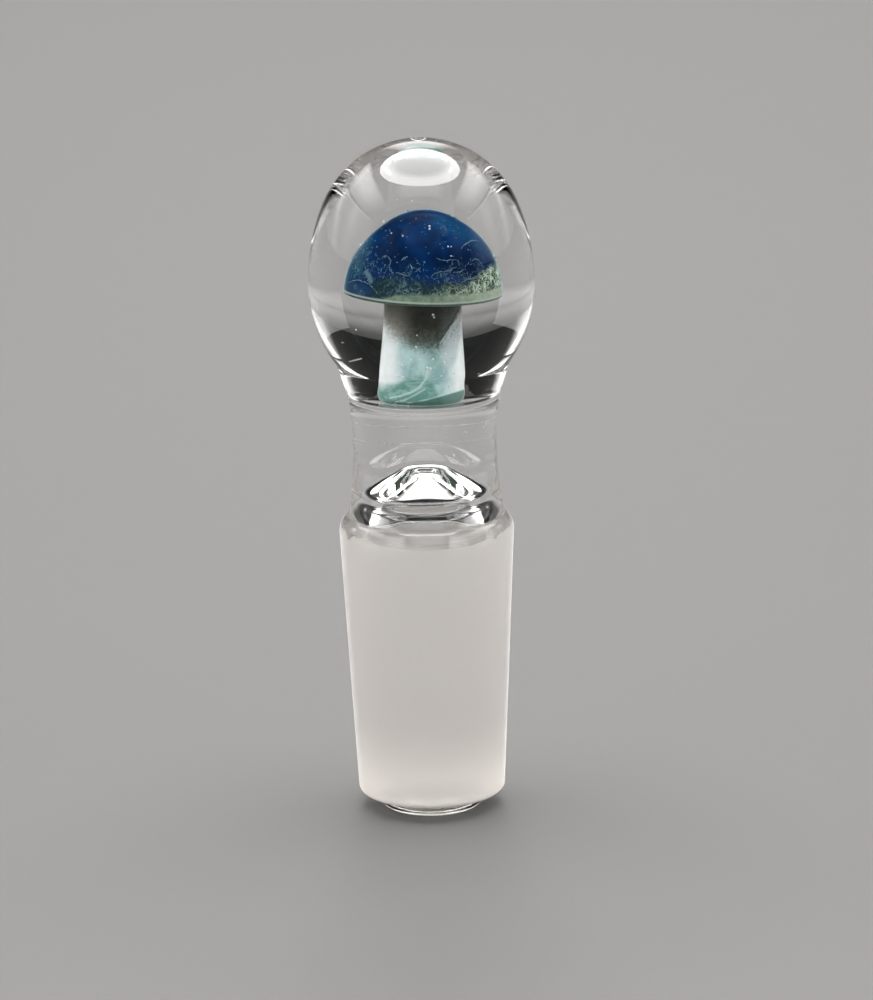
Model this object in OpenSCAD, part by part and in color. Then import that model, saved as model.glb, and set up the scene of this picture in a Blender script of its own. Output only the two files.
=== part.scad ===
// Ground-joint glass stopper with a solid ball head, and a small coloured
// glass mushroom sealed inside the ball. The plug is a hollow ground cone,
// open at its lower rim; its bore ends in a dome under the neck.
// Millimetres, +Z up. The origin is the centre of the lower rim, which is
// the face that the stopper stands on.

/* [Ground joint] */
// Diameter at the large, upper end of the ground taper
joint_d = 14.5; // [13.8:0.1:15.2]
// Height of the ground taper
joint_run = 22.1; // [20:0.01:24]
// Height over which the taper loses 1 mm of diameter
taper_run = 10; // [9:0.5:14]
// Radius of the rounded shoulder above the taper
shoulder_edge = 1.7; // [1.3:0.05:2]

/* [Lower end] */
// Height of the clear end below the taper
end_h = 1.7; // [1.4:0.01:2]
// Radius of the corner between the taper and the underside
end_edge = 0.45; // [0.3:0.05:0.6]
// Slope of the underside in degrees
end_slope = 18; // [15:1:20]
// Diameter of the circle that the lip rolls round
lip_d = 7.9; // [7.4:0.1:8.4]
// Radius of the rolled lip
lip_edge = 0.25; // [0.2:0.05:0.4]
// Radius of the hollow between lip and underside
lip_hollow = 0.35; // [0.2:0.05:0.5]

/* [Neck] */
// Height from the top of the taper to the weld with the ball
neck_run = 12.15; // [11.8:0.05:12.6]
// Diameter at the waist
waist_d = 11.88; // [11.7:0.02:12.1]
// Height of the waist above the top of the taper
waist_up = 7.98; // [7:0.02:8.6]
// Bend radius of the neck below the waist
foot_bend = 38; // [30:1:60]
// Bend radius of the neck above the waist
head_bend = 17; // [15:0.5:24]
// Radius that blends the shoulder into the neck
foot_blend = 0.5; // [0.3:0.05:0.8]
// Depth of the shallow groove left by the weld
weld_depth = 0.06; // [0.02:0.01:0.1]
// Radius of the weld groove
weld_edge = 0.5; // [0.3:0.05:0.6]

/* [Ball] */
// Diameter of the ball
ball_d = 18.62; // [18:0.02:19.2]
// Height of the ball's widest level above the weld
ball_rise = 8.78; // [8.4:0.02:9.2]
// Height of the ball above its widest level
ball_up = 11.98; // [11.2:0.02:12.6]
// Radius of the ball's crown, as a share of its widest radius
ball_crown = 0.93; // [0.88:0.01:0.96]
// Bend radius of the ball's side below its widest level
ball_low_bend = 11; // [10:0.1:12]
// Flare of the ball's foot above the weld, in mm of radius for each mm of height
collar_flare = 0.31; // [0.25:0.01:0.36]
// Radius that blends the foot into the ball
collar_blend = 2.4; // [1.8:0.1:2.8]

/* [Bore] */
// Diameter of the mouth in the lower rim
mouth_d = 5.8; // [5.2:0.1:6]
// Radius of the mouth's inner edge
mouth_edge = 0.3; // [0.2:0.05:0.3]
// Height at which the mouth begins to widen
mouth_h = 1; // [0.8:0.1:1.2]
// Radius of the bore at its foot
bore_foot_r = 4.5; // [4.2:0.1:4.7]
// Height of the bore's foot
bore_foot_h = 2.4; // [2.2:0.1:3]
// Radius of the bore at its shoulder
bore_head_r = 5.22; // [4.9:0.02:5.5]
// Depth of the bore's shoulder below the top of the ground taper
bore_head_drop = 1.8; // [1.5:0.1:3]

/* [Mushroom] */
// Diameter of the cap
cap_d = 8.8; // [8:0.02:9.2]
// Height of the cap above its rim
cap_h = 5.74; // [5:0.02:6.2]
// Radius of the crown of the cap, as a share of its widest radius
cap_crown = 0.77; // [0.7:0.01:0.86]
// Height of the rim of the cap above the weld
cap_rise = 8.18; // [7.8:0.02:9]
// Lean of the cap to the right in degrees
cap_lean = 3.2; // [0:0.1:6]
// Lean of the cap to the back in degrees
cap_back = 1.5; // [0:0.1:5]
// Radius of the stem under the cap
stem_head_r = 2.15; // [1.8:0.01:2.3]
// Radius of the stem at its belly
stem_belly_r = 2.34; // [2.3:0.01:2.7]
// Depth of the foot of the stem below the weld
stem_sink = 0.35; // [0:0.05:0.6]
// Lean of the stem in degrees, its foot to the left
stem_lean = 1.6; // [0:0.1:3]
// Offset of the mushroom to the right of the axis, at the rim of the cap
mushroom_off = 0.07; // [0:0.01:0.3]

/* [Hidden] */
$fn = 128;

joint_z = end_h + joint_run;
waist_z = joint_z + waist_up;
weld_z = joint_z + neck_run;
ball_z = weld_z + ball_rise;
cap_z = weld_z + cap_rise;
ball_r = ball_d / 2;
waist_r = waist_d / 2;

// Outward normal of the ground taper
taper_a = atan(0.5 / taper_run);
taper_n = [cos(taper_a), -sin(taper_a)];
taper_top = [joint_d / 2, joint_z];
taper_foot = taper_top - [0.5 * joint_run / taper_run, joint_run];

// Points along a circle about c from p the short way to q, without q itself
function turn(c, p, q) =
    let (a = atan2(p[1] - c[1], p[0] - c[0]), b = atan2(q[1] - c[1], q[0] - c[0]),
        d = b - a > 180 ? b - a - 360 : b - a < -180 ? b - a + 360 : b - a,
        n = ceil(abs(d) / (norm(p - c) > 3 ? 2.5 : 10)))
    [for (i = [0 : n - 1]) c + norm(p - c) * [cos(a + d * i / n), sin(a + d * i / n)]];

// One of the two points where circles (c, r) and (d, s) meet
function meet(c, r, d, s, side) = let (v = d - c, l = norm(v), a = (r * r - s * s + l * l) / (2 * l))
    c + v * (a / l) + side * sqrt(r * r - a * a) * [-v[1], v[0]] / l;

// Centre of a circle of radius s that touches circle (c, r) from outside and
// the straight line through p along u, on the side that n points to
function nestle(c, r, s, p, u, n) = let (d = (c - p) * n)
    c + (s - d) * n - sqrt(pow(r + s, 2) - pow(s - d, 2)) * u;

// Lower corner, tangent to the taper and to the sloping underside
end_c = taper_foot - end_edge * taper_n;
under_n = [sin(end_slope), -cos(end_slope)];
end_p = end_c + end_edge * under_n;
// Rolled lip, and the hollow that leads from the underside into it
lip_c = [lip_d / 2, lip_edge];
hollow_c = nestle(lip_c, lip_edge, lip_hollow, end_p, [-cos(end_slope), -sin(end_slope)], under_n);
hollow_p = hollow_c - lip_hollow * under_n;
lip_p = lip_c + lip_edge * (hollow_c - lip_c) / (lip_edge + lip_hollow);

// Shoulder, tangent to the taper, and its blend into the foot of the neck
shoulder_c = taper_top - shoulder_edge * taper_n;
foot_c = [waist_r + foot_bend, waist_z];
blend_c = meet(shoulder_c, shoulder_edge + foot_blend, foot_c, foot_bend - foot_blend, 1);
shoulder_p = shoulder_c + shoulder_edge * (blend_c - shoulder_c) / (shoulder_edge + foot_blend);
foot_p = foot_c + foot_bend * (blend_c - foot_c) / (foot_bend - foot_blend);

// Upper neck, with the weld groove just below the foot of the ball
head_c = [waist_r + head_bend, waist_z];
function neck_r(z) = head_c[0] - sqrt(head_bend * head_bend - pow(z - waist_z, 2));
groove_z = weld_z - sqrt(2 * weld_edge * weld_depth) - 0.05;
groove_m = [neck_r(groove_z), groove_z];
groove_c = groove_m + (weld_edge - weld_depth) * (head_c - groove_m) / head_bend;
groove_p = meet(head_c, head_bend, groove_c, weld_edge, 1);
groove_q = meet(head_c, head_bend, groove_c, weld_edge, -1);

// Foot of the ball: a straight flare, blended into the ball's side
flare_p = [neck_r(weld_z), weld_z];
flare_n = [1, -collar_flare] / norm([1, collar_flare]);
flare_u = [collar_flare, 1] / norm([1, collar_flare]);
low_c = [ball_r - ball_low_bend, ball_z];
collar_c = nestle(low_c, ball_low_bend, collar_blend, flare_p, flare_u, flare_n);
collar_p = collar_c - collar_blend * flare_n;
low_p = low_c + ball_low_bend * (collar_c - low_c) / (ball_low_bend + collar_blend);

// Outline of a dome of half-width a and height h that stands on height z: an
// arc for the side, then an arc of radius r for the crown
function dome(a, h, r, z) =
    let (side = (a * a + pow(h - r, 2) - r * r) / (2 * (a - r)), c = [a - side, z], d = [0, z + h - r],
        p = d + r * (d - c) / norm(d - c))
    concat(turn(c, [a, z], p), turn(d, p, [0, z + h]), [[0, z + h]]);

// Smooth curve through stations, with centripetal spacing; it starts at the
// second one and stops short of the last but one
function gap(p, q) = sqrt(norm(q - p));
function curve(p, q, r, s, t) =
    let (a = gap(p, q), b = gap(q, r), c = gap(r, s),
        m = b * ((q - p) / a - (r - p) / (a + b) + (r - q) / b),
        n = b * ((r - q) / b - (s - q) / (b + c) + (s - r) / c))
    (2 * t * t * t - 3 * t * t + 1) * q + (t * t * t - 2 * t * t + t) * m
    + (3 * t * t - 2 * t * t * t) * r + (t * t * t - t * t) * n;
function smooth(s, steps) = [
    for (i = [1 : len(s) - 3]) for (k = [0 : steps - 1]) curve(s[i - 1], s[i], s[i + 1], s[i + 2], k / steps)
];

// Bore from its shoulder up, as radius and height above joint_z: the shoulder
// draws in to a short throat, which a small dome closes under the neck
bore_top = [
    [5.2, -0.8], [4.63, 0.71], [4.05, 1.79], [3.67, 2.47], [3.55, 3.17], [2.76, 4.22], [1.89, 5.11], [1.03, 5.88]
];
bore_tip = [0, joint_z + 6.06];
bore_head = [bore_head_r, joint_z - bore_head_drop];
bore_curve = smooth(concat(
    [bore_head - [0.03, 1], bore_head], [for (p = bore_top) p + [0, joint_z]], [bore_tip, [-1, joint_z + 5.86]]
), 5);

mouth_r = mouth_d / 2;
mouth_c = [mouth_r + mouth_edge, mouth_edge];

// Half-section of the clear body
outside = concat(
    turn(lip_c, [lip_c[0], 0], lip_p),
    turn(hollow_c, lip_p, hollow_p), [hollow_p],
    turn(end_c, end_p, taper_foot), [taper_foot],
    turn(shoulder_c, taper_top, shoulder_p),
    turn(blend_c, shoulder_p, foot_p),
    turn(foot_c, foot_p, [waist_r, waist_z]),
    turn(head_c, [waist_r, waist_z], groove_p),
    turn(groove_c, groove_p, groove_q), [groove_q],
    [flare_p],
    turn(collar_c, collar_p, low_p),
    turn(low_c, low_p, [ball_r, ball_z]),
    dome(ball_r, ball_up, ball_crown * ball_r, ball_z)
);
inside = concat(
    turn(mouth_c, [mouth_c[0], 0], [mouth_r, mouth_edge]),
    [[mouth_r, mouth_edge], [mouth_r, mouth_h], [bore_foot_r, bore_foot_h]],
    bore_curve, [bore_tip]
);

// Stem as radius and height above its foot, run on up into the cap
stem_foot_z = weld_z - stem_sink;
stem_top = cap_rise + stem_sink + 0.3;
stem_sides = [
    [-1.6, 0.02], [0, 0], [1.6, 0.02], [2.18, 0.25], [stem_belly_r + 0.03, 0.8], [stem_belly_r, 1.8],
    [stem_belly_r, 3.7], [stem_belly_r - 0.06, 4.7], [stem_head_r + 0.04, 6], [stem_head_r, 7.2], [stem_head_r, 9]
];

// Turns the cap's own level onto its lean about the middle of its rim
module leaning() translate([mushroom_off, 0, cap_z]) rotate([-cap_back, cap_lean, 0]) children();

module cap_shape() leaning() rotate_extrude() polygon(concat(
    [[0, -0.15], [cap_d / 2 - 0.12, -0.15], [cap_d / 2 - 0.03, -0.09]],
    dome(cap_d / 2, cap_h, cap_crown * cap_d / 2, 0)
));

module stem_shape() translate([mushroom_off, 0, cap_z]) rotate([0, stem_lean, 0]) translate([0, 0, stem_foot_z - cap_z])
    rotate_extrude() polygon(concat(smooth(stem_sides, 4), [[stem_head_r, stem_top], [0, stem_top]]));

// Clear body: ball, neck and hollow ground plug in one piece, closed round
// the mushroom
module glass_body() {
    color([0.86, 0.91, 0.92, 0.4]) difference() {
        rotate_extrude() polygon(concat(outside, [for (i = [len(inside) - 1 : -1 : 0]) inside[i]]));
        union() {
            cap_shape();
            stem_shape();
        }
    }
}

// Deep blue cap, dome up
module mushroom_cap() {
    color([0.05, 0.16, 0.38]) cap_shape();
}

// Pale green stem, cut off by the underside of the leaning cap
module mushroom_stem() {
    color([0.62, 0.8, 0.72]) difference() {
        stem_shape();
        leaning() translate([-10, -10, -0.15]) cube([20, 20, 10]);
    }
}

glass_body();
mushroom_cap();
mushroom_stem();
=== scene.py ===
import math
import bpy
import numpy as np
from mathutils import Euler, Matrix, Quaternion, Vector


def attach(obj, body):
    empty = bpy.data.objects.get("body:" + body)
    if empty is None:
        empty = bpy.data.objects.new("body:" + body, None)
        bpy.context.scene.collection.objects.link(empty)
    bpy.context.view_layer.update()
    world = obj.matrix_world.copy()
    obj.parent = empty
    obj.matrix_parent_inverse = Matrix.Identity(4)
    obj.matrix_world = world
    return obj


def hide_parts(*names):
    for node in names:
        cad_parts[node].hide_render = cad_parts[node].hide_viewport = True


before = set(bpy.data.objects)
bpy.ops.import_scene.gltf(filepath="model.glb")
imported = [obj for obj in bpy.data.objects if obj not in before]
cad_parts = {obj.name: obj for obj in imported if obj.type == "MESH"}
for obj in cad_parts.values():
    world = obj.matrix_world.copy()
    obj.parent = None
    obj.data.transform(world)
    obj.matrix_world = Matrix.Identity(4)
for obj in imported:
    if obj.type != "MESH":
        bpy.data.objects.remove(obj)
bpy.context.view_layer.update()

scene = bpy.context.scene
MM = 1e-3
A = np.array

# ------------------------------------------------------------------ camera
cam = bpy.data.cameras.new("camera")
cam_ob = bpy.data.objects.new("camera", cam)
scene.collection.objects.link(cam_ob)
scene.camera = cam_ob
cam.sensor_fit = "AUTO"
cam.sensor_width = 36
cam.lens = 151.974
cam.clip_start = 0.01
cam.clip_end = 20
cam_ob.rotation_mode = "QUATERNION"
cam_ob.location = Vector((0, -338.08, 118.57)) * MM
aim = Vector((0.864, 0, 26.313)) * MM
cam_ob.rotation_quaternion = (aim - cam_ob.location).to_track_quat("-Z", "Y") @ Quaternion((0, 0, 1), -0.02093)

# ------------------------------------------------------------------ outline
# The clear body's half-section: the same arcs and lines as the part's source,
# as radius and height in millimetres.
joint_z, waist_z, weld_z, ball_z = 23.8, 31.78, 35.95, 44.73


def turn(c, p, q, big=1.0, small=6.0):
    c, p, q = (A(v, float) for v in (c, p, q))
    a = math.atan2(p[1] - c[1], p[0] - c[0])
    d = math.atan2(q[1] - c[1], q[0] - c[0]) - a
    d = d - 2 * math.pi if d > math.pi else d + 2 * math.pi if d < -math.pi else d
    r = np.linalg.norm(p - c)
    n = max(1, math.ceil(abs(math.degrees(d)) / (big if r > 3 else small)))
    return [c + r * A([math.cos(a + d * i / n), math.sin(a + d * i / n)]) for i in range(n)]


def meet(c, r, d, s, side):
    v = d - c
    l = np.linalg.norm(v)
    a = (r * r - s * s + l * l) / (2 * l)
    return c + v * (a / l) + side * math.sqrt(r * r - a * a) * A([-v[1], v[0]]) / l


def nestle(c, r, s, p, u, n):
    d = (c - p) @ n
    return c + (s - d) * n - math.sqrt((r + s) ** 2 - (s - d) ** 2) * u


def curve(p, q, r, s, t):
    g = lambda x, y: max(1e-6, math.sqrt(np.linalg.norm(y - x)))
    a, b, c = g(p, q), g(q, r), g(r, s)
    m = b * ((q - p) / a - (r - p) / (a + b) + (r - q) / b)
    n = b * ((r - q) / b - (s - q) / (b + c) + (s - r) / c)
    return (2 * t**3 - 3 * t * t + 1) * q + (t**3 - 2 * t * t + t) * m + (3 * t * t - 2 * t**3) * r + (t**3 - t * t) * n


def smooth(stations, k):
    s = [A(x, float) for x in stations]
    return [curve(*s[i - 1 : i + 3], j / k) for i in range(1, len(s) - 2) for j in range(k)]


def straight(p, q, n):
    return [A(p) + (A(q) - A(p)) * k / n for k in range(n)]


def soft(x, lo, hi):
    t = np.clip((x - lo) / (hi - lo), 0, 1)
    return t * t * (3 - 2 * t)


def body_outline():
    t = math.atan(0.05)
    tn = A([math.cos(t), -math.sin(t)])
    top = A([7.25, joint_z])
    foot = top - A([1.105, 22.1])
    end_c = foot - 0.45 * tn
    s = math.radians(18)
    un = A([math.sin(s), -math.cos(s)])
    end_p = end_c + 0.45 * un
    lip_c = A([3.95, 0.25])
    hol_c = nestle(lip_c, 0.25, 0.35, end_p, A([-math.cos(s), -math.sin(s)]), un)
    hol_p = hol_c - 0.35 * un
    lip_p = lip_c + 0.25 * (hol_c - lip_c) / 0.6
    sh_c = top - 1.7 * tn
    ft_c = A([5.94 + 38, waist_z])
    bl_c = meet(sh_c, 2.2, ft_c, 37.5, 1)
    sh_p = sh_c + 1.7 * (bl_c - sh_c) / 2.2
    ft_p = ft_c + 38 * (bl_c - ft_c) / 37.5
    hd = A([5.94 + 17, waist_z])
    nr = lambda z: hd[0] - math.sqrt(17 * 17 - (z - waist_z) ** 2)
    gz = weld_z - math.sqrt(2 * 0.5 * 0.06) - 0.05
    gm = A([nr(gz), gz])
    gc = gm + 0.44 * (hd - gm) / 17
    gp, gq = meet(hd, 17, gc, 0.5, 1), meet(hd, 17, gc, 0.5, -1)
    fl_p = A([nr(weld_z), weld_z])
    l = math.hypot(1, 0.31)
    fn, fu = A([1, -0.31]) / l, A([0.31, 1]) / l
    lo_c = A([9.31 - 11, ball_z])
    co_c = nestle(lo_c, 11, 2.4, fl_p, fu, fn)
    co_p = co_c - 2.4 * fn
    lo_p = lo_c + 11 * (co_c - lo_c) / 13.4
    r = 0.93 * 9.31
    side = (9.31**2 + (11.98 - r) ** 2 - r * r) / (2 * (9.31 - r))
    c1, c2 = A([9.31 - side, ball_z]), A([0, ball_z + 11.98 - r])
    p = c2 + r * (c2 - c1) / np.linalg.norm(c2 - c1)
    under = turn(lip_c, [3.95, 0], lip_p, small=10) + turn(hol_c, lip_p, hol_p, small=10) + straight(hol_p, end_p, 5)
    ground = turn(end_c, end_p, foot, small=8) + straight(foot, top, 26) + turn(sh_c, top, sh_p, small=2.2)
    rest = (
        turn(bl_c, sh_p, ft_p)
        + turn(ft_c, ft_p, [5.94, waist_z], 0.5)
        + turn(hd, [5.94, waist_z], gp, 0.6)
        + turn(gc, gp, gq)
        + [gq, fl_p]
        + straight(fl_p, co_p, 4)[1:]
        + turn(co_c, co_p, lo_p, small=4)
        + turn(lo_c, lo_p, [9.31, ball_z], 1.6)
        + turn(c1, [9.31, ball_z], p, 1.6)
        + turn(c2, p, [0, ball_z + 11.98], 1.6)
        + [A([0, ball_z + 11.98])]
    )
    return under, ground, rest


def bore_outline():
    top = [[5.2, -0.8], [4.63, 0.71], [4.05, 1.79], [3.67, 2.47], [3.55, 3.17], [2.76, 4.22], [1.89, 5.11], [1.03, 5.88]]
    tip, bh = A([0, joint_z + 6.06]), A([5.22, joint_z - 1.8])
    return (
        turn([3.2, 0.3], [3.2, 0], [2.9, 0.3], small=15)
        + straight([2.9, 0.3], [2.9, 1], 2)
        + straight([2.9, 1], [4.5, 2.4], 6)
        + straight([4.5, 2.4], bh, 18)
        + smooth([bh - A([0.03, 1]), bh] + [A(q) + A([0, joint_z]) for q in top] + [tip, A([-1, joint_z + 5.86])], 6)
        + [tip]
    )


# ------------------------------------------------------------------ meshes
def grid_mesh(name, rows, material, mats=None, close_ends=True):
    """rows: array (rows, around, 3) in mm, a closed ring each; the first and last may be poles (around = 1)."""
    verts, index = [], []
    for ring in rows:
        index.append(len(verts))
        verts.extend(ring)
    faces, slots = [], []
    for i in range(len(rows) - 1):
        a, b, na, nb = index[i], index[i + 1], len(rows[i]), len(rows[i + 1])
        n = max(na, nb)
        for k in range(n):
            j = (k + 1) % n
            if na == 1:
                f = (a, b + j, b + k)
            elif nb == 1:
                f = (a + k, a + j, b)
            else:
                f = (a + k, a + j, b + j, b + k)
            faces.append(f)
            slots.append(mats(i, k, n) if mats else 0)
    me = bpy.data.meshes.new(name)
    me.from_pydata([tuple(v * MM) for v in verts], [], faces)
    me.polygons.foreach_set("material_index", slots)
    me.polygons.foreach_set("use_smooth", [True] * len(faces))
    me.update()
    ob = bpy.data.objects.new(name, me)
    scene.collection.objects.link(ob)
    for m in material if isinstance(material, (list, tuple)) else [material]:
        me.materials.append(m)
    return ob


def attribute(ob, name, values):
    at = ob.data.attributes.new(name, "FLOAT", "POINT")
    at.data.foreach_set("value", np.asarray(values, np.float32))


# ------------------------------------------------------------------ materials
class Nodes:
    """A few short names for shader nodes."""

    def __init__(self, name):
        self.m = bpy.data.materials.new(name)
        self.m.use_nodes = True
        self.t = self.m.node_tree
        self.p = self.t.nodes["Principled BSDF"]
        self.out = self.t.nodes["Material Output"]

    def set(self, **kw):
        for k, v in kw.items():
            self.put(v, self.p.inputs[k.replace("_", " ")])
        return self

    def put(self, v, socket):
        if isinstance(v, bpy.types.NodeSocket):
            self.t.links.new(v, socket)
        elif isinstance(v, (tuple, list)) and len(v) == 3 and socket.type == "RGBA":
            socket.default_value = (*v, 1)
        else:
            socket.default_value = v

    def new(self, kind):
        return self.t.nodes.new(kind)

    def place(self, scale=1.0, stretch=(1, 1, 1)):
        """Object coordinates in millimetres times scale."""
        tc, mp = self.new("ShaderNodeTexCoord"), self.new("ShaderNodeMapping")
        self.put(tc.outputs["Object"], mp.inputs[0])
        mp.inputs["Scale"].default_value = tuple(1000 * scale * s for s in stretch)
        return mp.outputs[0]

    def attr(self, name):
        n = self.new("ShaderNodeAttribute")
        n.attribute_name = name
        return n.outputs["Fac"]

    def math(self, op, a, b=0.0, clamp=False):
        n = self.new("ShaderNodeMath")
        n.operation = op
        n.use_clamp = clamp
        self.put(a, n.inputs[0])
        self.put(b, n.inputs[1])
        return n.outputs[0]

    def step(self, x, lo, hi):
        """0 below lo, 1 above hi, smooth between; lo may be the larger."""
        n = self.new("ShaderNodeMapRange")
        n.interpolation_type = "SMOOTHSTEP"
        flip = lo > hi
        if flip:
            lo, hi = hi, lo
        self.put(x, n.inputs[0])
        n.inputs[1].default_value, n.inputs[2].default_value = lo, hi
        n.inputs[3].default_value, n.inputs[4].default_value = (1, 0) if flip else (0, 1)
        return n.outputs[0]

    def mix(self, f, a, b, kind="MIX"):
        n = self.new("ShaderNodeMix")
        n.data_type = "RGBA"
        n.blend_type = kind
        self.put(f, n.inputs[0])
        self.put(a, n.inputs[6])
        self.put(b, n.inputs[7])
        return n.outputs[2]

    def noise(self, scale, detail=3.0, rough=0.5, warp=0.0, vec=None, stretch=(1, 1, 1), color=False):
        n = self.new("ShaderNodeTexNoise")
        self.put(self.place(1, stretch) if vec is None else vec, n.inputs["Vector"])
        n.inputs["Scale"].default_value = scale
        n.inputs["Detail"].default_value = detail
        n.inputs["Roughness"].default_value = rough
        n.inputs["Distortion"].default_value = warp
        return n.outputs["Color" if color else "Fac"]

    def cells(self, scale, feature="DISTANCE_TO_EDGE", vec=None):
        n = self.new("ShaderNodeTexVoronoi")
        n.feature = feature
        self.put(self.place() if vec is None else vec, n.inputs["Vector"])
        n.inputs["Scale"].default_value = scale
        return n.outputs["Distance"]

    def warped(self, scale, amount, vec=None):
        """Object coordinates in mm, pushed about by noise."""
        base = self.place() if vec is None else vec
        c = self.noise(scale, 3, 0.55, vec=base, color=True)
        n = self.new("ShaderNodeVectorMath")
        n.operation = "MULTIPLY_ADD"
        self.put(c, n.inputs[0])
        n.inputs[1].default_value = (amount, amount, amount)
        self.put(base, n.inputs[2])
        return n.outputs[0]

    def bump(self, height, strength, distance):
        n = self.new("ShaderNodeBump")
        n.inputs["Strength"].default_value = strength
        n.inputs["Distance"].default_value = distance
        self.put(height, n.inputs["Height"])
        self.put(n.outputs[0], self.p.inputs["Normal"])


def clear_glass():
    n = Nodes("clear_glass")
    n.set(Base_Color=(0.985, 0.992, 0.99), Roughness=0.0, IOR=1.47, Transmission_Weight=1.0)
    return n.m


def ground_glass():
    n = Nodes("ground_glass")
    grain = n.noise(9.0, 4, 0.6)
    soft = n.noise(0.35, 2, 0.5)
    turned = n.noise(1.0, 3, 0.6, stretch=(0.25, 0.25, 6))
    r = n.math("ADD", 0.44, n.math("MULTIPLY", soft, 0.12))
    r = n.math("ADD", r, n.math("MULTIPLY", turned, 0.08))
    frost = n.step(n.math("ADD", n.attr("frost"), n.math("MULTIPLY", n.math("SUBTRACT", grain, 0.5), 0.35)), 0.0, 1.0)
    r = n.math("MULTIPLY", r, n.math("ADD", 0.25, n.math("MULTIPLY", frost, 0.75)))
    clear = n.math("SUBTRACT", 1.0, n.math("MULTIPLY", frost, 0.4))
    # Towards the bottom the frosted band is painted brighter and warmer, with less clear transmission: painted light
    # where light gathers in the frosted end
    clear = n.math("SUBTRACT", clear, n.math("MULTIPLY", n.attr("low"), 0.22))
    n.set(Base_Color=n.mix(n.attr("low"), (0.82, 0.79, 0.765), (1.0, 0.95, 0.9)), Roughness=r, IOR=1.47, Transmission_Weight=clear, Sheen_Weight=1.0, Sheen_Roughness=0.22)
    n.bump(n.math("ADD", grain, n.math("MULTIPLY", turned, 0.6)), 0.25, 0.00004)
    return n.m


# ------------------------------------------------------------------ glass body
N_AROUND = 208
az = np.arange(N_AROUND) * 2 * np.pi / N_AROUND  # 0 at +X, front at -90 degrees
under, ground, rest = body_outline()
bore = bore_outline()
front = -np.sin(az)  # 1 at the front, -1 at the back

# The frosting's upper edge dips at the front and wanders a little.
edge = 25.0 - 0.42 * front**3 - 0.1 * front + 0.05 * np.sin(3 * az + 1.2) + 0.035 * np.sin(7 * az + 0.4) + 0.02 * np.sin(13 * az)
edge = edge - 0.5 * np.exp(-(((az - 3.61) / 0.06) ** 2)) - 0.25 * np.exp(-(((az - 5.6) / 0.05) ** 2))


def body_rows():
    g = A(ground)
    cut = np.concatenate([[0], np.cumsum(np.linalg.norm(np.diff(np.vstack([g, A(rest[:1])]), axis=0), axis=1))])
    pts = np.vstack([g, A(rest[:1])])
    low = int(np.argmin(np.abs(pts[:, 1] - 23.85)))  # rows above this one slide to meet the frosting's edge
    s0, s1 = cut[low], cut[-1]
    s_edge = np.interp(edge, pts[low:, 1], cut[low:])
    upper = len(g) - low
    share = 14  # this many of the upper rows lie below the edge
    rows = []
    for p in under:
        rows.append(np.c_[np.full(N_AROUND, p[0]), np.full(N_AROUND, p[1])])
    first_ground = len(rows)
    for i in range(low):
        rows.append(np.c_[np.full(N_AROUND, g[i][0]), np.full(N_AROUND, g[i][1])])
    for i in range(upper):
        if i <= share:
            s = s0 + (s_edge - s0) * i / share
        else:
            s = s_edge + (s1 - s_edge) * (i - share) / (upper - share)
        rows.append(np.c_[np.interp(s, cut, pts[:, 0]), np.interp(s, cut, pts[:, 1])])
    last_ground = first_ground + low + share
    for p in rest[:-1]:
        rows.append(np.c_[np.full(N_AROUND, p[0]), np.full(N_AROUND, p[1])])
    return rows, first_ground, last_ground


outer, first_ground, last_ground = body_rows()
ground_start = first_ground + 3
ring = lambda rz: np.c_[rz[:, 0] * np.cos(az), rz[:, 0] * np.sin(az), rz[:, 1]]
rows = [np.zeros((1, 3)) + [0, 0, bore[-1][1]]]
for p in bore[-2::-1]:
    rows.append(ring(np.c_[np.full(N_AROUND, p[0]), np.full(N_AROUND, p[1])]))
n_bore = len(rows)
rows += [ring(r) for r in outer]
rows.append(np.zeros((1, 3)) + [0, 0, 56.71])
body = grid_mesh(
    "stopper_body",
    rows,
    [clear_glass(), ground_glass()],
    mats=lambda i, k, n: 1 if n_bore + ground_start <= i < n_bore + last_ground else 0,
)
body_z = np.empty(len(body.data.vertices) * 3)
body.data.vertices.foreach_get("co", body_z)
body_z = body_z[2::3] * 1000
# Mask for the painted glow that brightens and warms the frosted joint towards its bottom
attribute(body, "low", 1 - soft(body_z, 1.0, 9.0))
body_xy = np.empty(len(body.data.vertices) * 3)
body.data.vertices.foreach_get("co", body_xy)
body_az = np.arctan2(body_xy[1::3], body_xy[0::3])
edge_here = np.interp(body_az % (2 * np.pi), np.append(az, 2 * np.pi), np.append(edge, edge[0]))
attribute(body, "frost", 1 - soft(body_z, edge_here - 1.1, edge_here + 0.05))
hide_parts("glass_body")
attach(body, "root")

# ------------------------------------------------------------------ mushroom
CAP_AT = A([0.07, 0, 44.13])
A_CAP, H_CAP, CROWN = 4.4, 5.74, 0.77 * 4.4


def turned(ax, ay):
    return A(Euler((math.radians(ax), math.radians(ay), 0)).to_matrix())


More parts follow.
